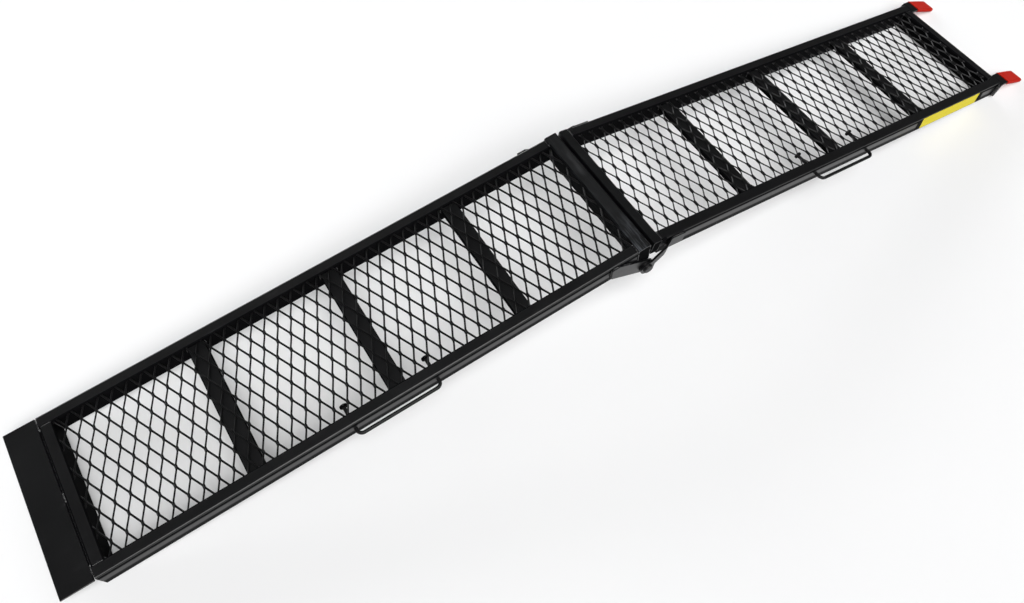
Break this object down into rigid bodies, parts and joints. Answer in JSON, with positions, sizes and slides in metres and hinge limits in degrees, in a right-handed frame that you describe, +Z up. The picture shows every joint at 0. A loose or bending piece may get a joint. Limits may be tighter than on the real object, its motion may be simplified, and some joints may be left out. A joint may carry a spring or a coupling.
{
  "type": "folding loading ramp",
  "caption": "Narrow folding loading ramp: two welded tube frames with expanded metal decks, hinged below the rails, with a ground plate, capped hooks and slide-out carry handles.",
  "frame": {"origin": "on the floor, at the middle of the footprint of the opened ramp", "axes": "+X along the ramp from the ground plate to the hooks, +Y across it to the side without handles, +Z up"},
  "size_m": [2.0806, 0.318, 0.1511],
  "materials": {
    "black_powder_coat": "semi-gloss powder coat with light orange peel",
    "mesh_black": "semi-gloss powder coat over raised expanded steel",
    "handle_black": "semi-gloss powder coat on round bar",
    "dark_hardware": "black oxide",
    "red_vinyl": "glossy dipped vinyl",
    "yellow_sticker": "plain glossy vinyl sticker, no lettering"
  },
  "bodies": {
    "lower_section": {"lower_rail_near": "black_powder_coat", "lower_rail_far": "black_powder_coat", "lower_end_member": "black_powder_coat", "lower_hinge_member": "black_powder_coat", "lower_hinge_closers": "black_powder_coat", "lower_crossmember_1": "black_powder_coat", "lower_crossmember_2": "black_powder_coat", "lower_crossmember_3": "black_powder_coat", "lower_deck_mesh": "mesh_black", "ground_plate": "black_powder_coat", "ground_plate_welds": "black_powder_coat", "lower_bracket_near": "black_powder_coat", "lower_bracket_far": "black_powder_coat", "hinge_thrust_washers": "dark_hardware", "hinge_nut_washers": "dark_hardware", "hinge_bolt_near": "dark_hardware", "hinge_bolt_far": "dark_hardware", "hinge_nuts": "dark_hardware"},
    "upper_section": {"upper_rail_near": "black_powder_coat", "upper_rail_far": "black_powder_coat", "upper_end_member": "black_powder_coat", "upper_hinge_member": "black_powder_coat", "upper_hinge_closers": "black_powder_coat", "upper_crossmember_1": "black_powder_coat", "upper_crossmember_2": "black_powder_coat", "upper_crossmember_3": "black_powder_coat", "upper_deck_mesh": "mesh_black", "upper_arm_near": "black_powder_coat", "upper_arm_far": "black_powder_coat", "hook_near": "black_powder_coat", "hook_far": "black_powder_coat", "hook_cap_near": "red_vinyl", "hook_cap_far": "red_vinyl", "side_label": "yellow_sticker"},
    "lower_handle": {"lower_handle": "handle_black", "lower_handle_stops": "handle_black"},
    "upper_handle": {"upper_handle": "handle_black", "upper_handle_stops": "handle_black"}
  },
  "joints": [
    {"name": "fold", "type": "hinge", "parent": "lower_section", "child": "upper_section", "pos_m": [-0.03515, 0, 0.09305], "axis": [0, 1, 0], "range_deg": [0, 166.8]},
    {"name": "lower_handle_slide", "type": "slide", "parent": "lower_section", "child": "lower_handle", "axis": [0, -1, 0], "range_m": [-0.003, 0.0193]},
    {"name": "upper_handle_slide", "type": "slide", "parent": "upper_section", "child": "upper_handle", "axis": [0, -1, 0], "range_m": [-0.0065, 0.0278]}
  ]
}
